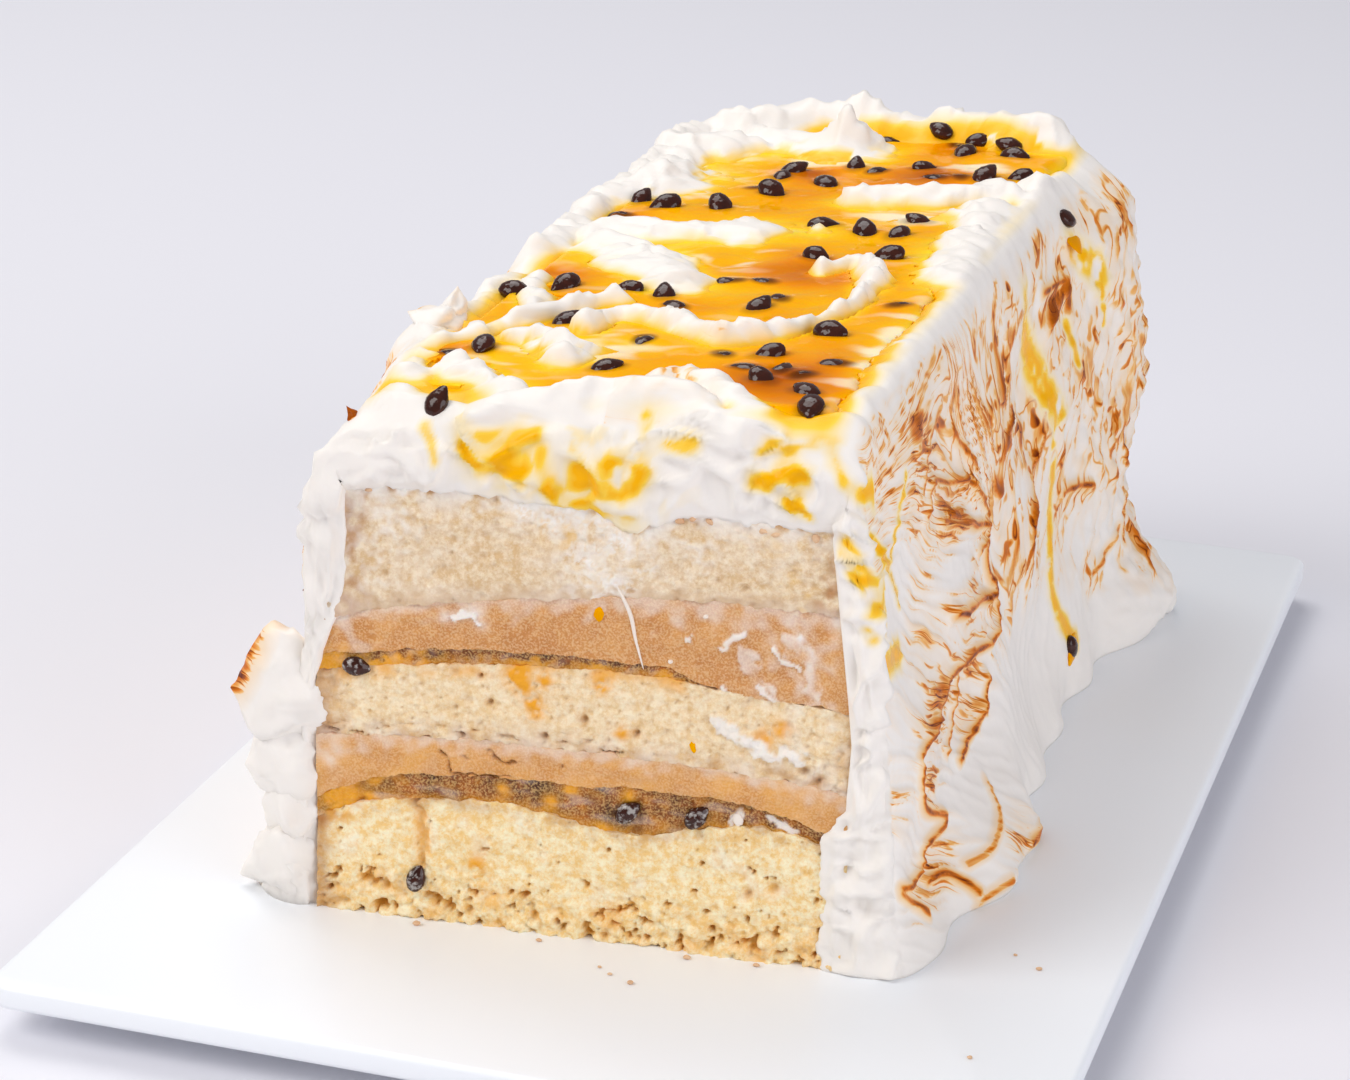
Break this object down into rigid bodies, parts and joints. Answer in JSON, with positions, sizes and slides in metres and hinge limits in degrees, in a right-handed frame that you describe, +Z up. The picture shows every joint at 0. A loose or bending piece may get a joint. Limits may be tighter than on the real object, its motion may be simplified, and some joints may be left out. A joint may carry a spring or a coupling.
{
  "type": "cut layer cake loaf on a serving board",
  "caption": "Cut loaf of frozen milk layer cake: sponge, mousse and curd layers in a torched meringue coat, topped with passion fruit pulp and seeds, on a flat white serving board.",
  "frame": {"origin": "on the table, under the middle of the serving board", "axes": "+Y along the loaf away from the cut face, +X to the right seen from the cut face, +Z up"},
  "size_m": [0.18, 0.296, 0.1146],
  "materials": {
    "board": "white moulded melamine, satin",
    "sponge_golden": "open golden crumb",
    "sponge_soaked": "fine pale crumb soaked in milk",
    "curd": "dark amber curd with a frosted surface",
    "mousse": "caramel mousse, frosted and dull",
    "meringue": "white satin meringue with torched brown edges",
    "pulp": "clear glossy amber jelly",
    "seed": "glossy black brown seed"
  },
  "bodies": {
    "root": {"board": "board", "sponge_bottom": "sponge_golden", "curd_lower": "curd", "mousse_lower": "mousse", "sponge_middle": "sponge_golden", "curd_upper": "curd", "mousse_upper": "mousse", "sponge_top": "sponge_soaked", "meringue": "meringue", "passion_pulp": "pulp"}
  },
  "joints": []
}
